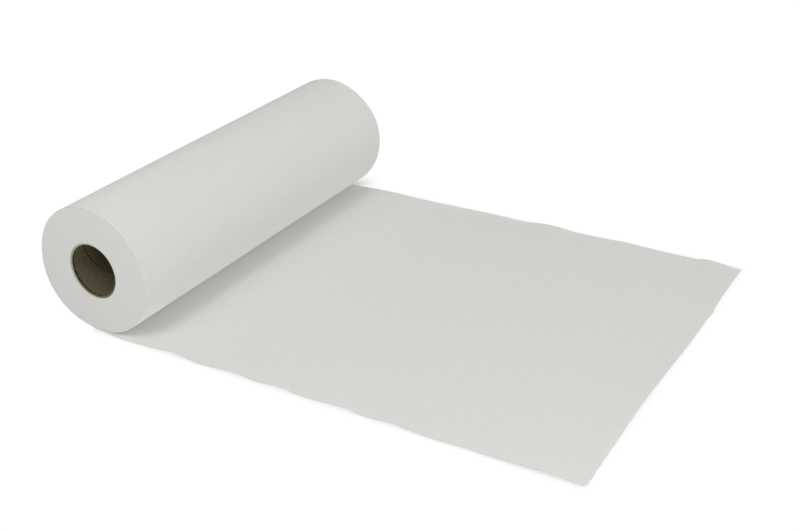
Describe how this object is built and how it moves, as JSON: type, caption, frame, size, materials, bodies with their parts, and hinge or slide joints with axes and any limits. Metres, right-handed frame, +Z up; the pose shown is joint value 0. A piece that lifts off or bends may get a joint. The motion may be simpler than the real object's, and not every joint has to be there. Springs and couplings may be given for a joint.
{
  "type": "exam table paper roll",
  "caption": "Roll of soft white couch paper wound on a hollow board core, lying on its side with the loose end drawn out flat across the floor.",
  "frame": {"origin": "on the floor under the roll's axis, half way along the roll", "axes": "+Y along the roll and its bore, +X the way the loose sheet is drawn off, +Z up"},
  "size_m": [0.5535, 0.4, 0.1265],
  "materials": {
    "paper": "soft matt crepe tissue, off white",
    "board": "matt grey-brown recycled board, spiral wound"
  },
  "bodies": {
    "root": {"paper_web": "paper", "cardboard_core": "board"}
  },
  "joints": []
}
